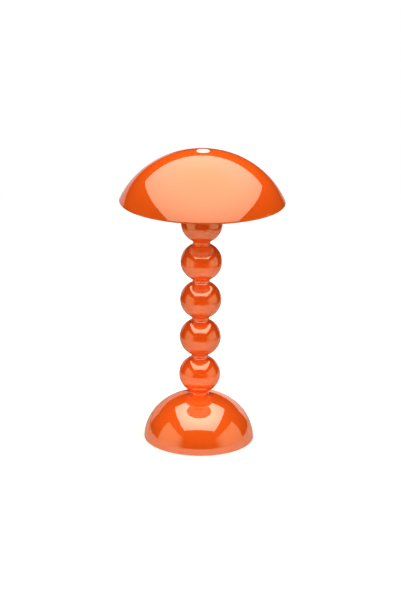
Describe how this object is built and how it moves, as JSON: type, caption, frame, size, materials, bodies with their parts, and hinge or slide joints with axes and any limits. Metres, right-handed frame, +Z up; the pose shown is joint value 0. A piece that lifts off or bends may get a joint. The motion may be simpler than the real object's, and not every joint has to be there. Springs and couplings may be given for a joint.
{
  "type": "cordless table lamp",
  "caption": "Rechargeable table lamp: a domed metal shade with a push button at its crown, on a column of lacquered balls over a weighted dome base.",
  "frame": {"origin": "centre of the foot ring's lower face, on the surface that the lamp stands on", "axes": "+Z up along the column, +Y towards the charging port at the back, +X to the right for a viewer in front at -Y"},
  "size_m": [0.165, 0.165, 0.2998],
  "materials": {
    "orange_lacquer": "high-gloss orange lacquer over spun metal",
    "white_enamel": "satin white enamel, also inside the shade",
    "ball_lacquer": "high-gloss orange lacquer over cast resin",
    "black_silicone": "matt moulded silicone",
    "black_plastic": "fine-textured black moulding",
    "zinc_steel": "bright zinc plate",
    "nickel_plate": "satin nickel plate",
    "cell_wrap": "heat-shrunk film",
    "red_wire": "smooth wire insulation",
    "black_wire": "smooth wire insulation",
    "white_wire": "smooth wire insulation",
    "white_connector": "moulded connector housing",
    "green_board": "solder-masked circuit board",
    "white_board": "white solder-masked metal-core board",
    "led_phosphor": "phosphor-filled silicone",
    "cast_aluminium": "satin die-cast",
    "opal_diffuser": "translucent opal, satin",
    "polished_chrome": "mirror polish",
    "button_white": "gloss white moulding"
  },
  "bodies": {
    "lamp": {"ball_1": "ball_lacquer", "ball_2": "ball_lacquer", "ball_3": "ball_lacquer", "ball_4": "ball_lacquer", "ball_5": "ball_lacquer", "ballast_disc": "zinc_steel", "base_shell": "orange_lacquer", "base_tray": "black_plastic", "battery_cell": "cell_wrap", "battery_clamp": "black_plastic", "battery_plug": "white_connector", "battery_tabs": "nickel_plate", "bezel_ring": "polished_chrome", "board_components": "black_plastic", "board_screws": "zinc_steel", "chassis_deck": "black_plastic", "clamp_screws": "zinc_steel", "collar_1": "orange_lacquer", "collar_2": "orange_lacquer", "collar_3": "orange_lacquer", "collar_4": "orange_lacquer", "collar_5": "orange_lacquer", "collar_6": "orange_lacquer", "control_board": "green_board", "crown_hub": "cast_aluminium", "deck_screws": "zinc_steel", "diffuser": "opal_diffuser", "fixing_tabs": "zinc_steel", "foot_ring": "black_silicone", "head_cup": "white_enamel", "hub_screws": "zinc_steel", "lamp_lead": "black_wire", "lamp_plug": "white_connector", "led_board": "white_board", "led_chips": "led_phosphor", "led_screws": "zinc_steel", "led_wires": "white_wire", "lower_grommet": "black_silicone", "lower_nut": "zinc_steel", "lower_washer": "zinc_steel", "negative_lead": "black_wire", "port_surround": "black_plastic", "positive_lead": "red_wire", "shade": "orange_lacquer", "shade_washer": "black_silicone", "switch_board": "green_board", "switch_wires": "white_wire", "tact_switch": "nickel_plate", "tie_tube": "zinc_steel", "tray_screws": "zinc_steel", "upper_grommet": "black_silicone", "upper_nut": "zinc_steel", "upper_washer": "zinc_steel", "usb_socket": "nickel_plate", "usb_tongue": "black_plastic"},
    "button": {"power_button": "button_white", "switch_plunger": "black_plastic"}
  },
  "joints": [
    {"name": "button_press", "type": "slide", "parent": "lamp", "child": "button", "axis": [0, 0, -1], "range_m": [0, 0.0006], "stiffness_N_per_m": 1000, "springref_m": -0.0004}
  ]
}
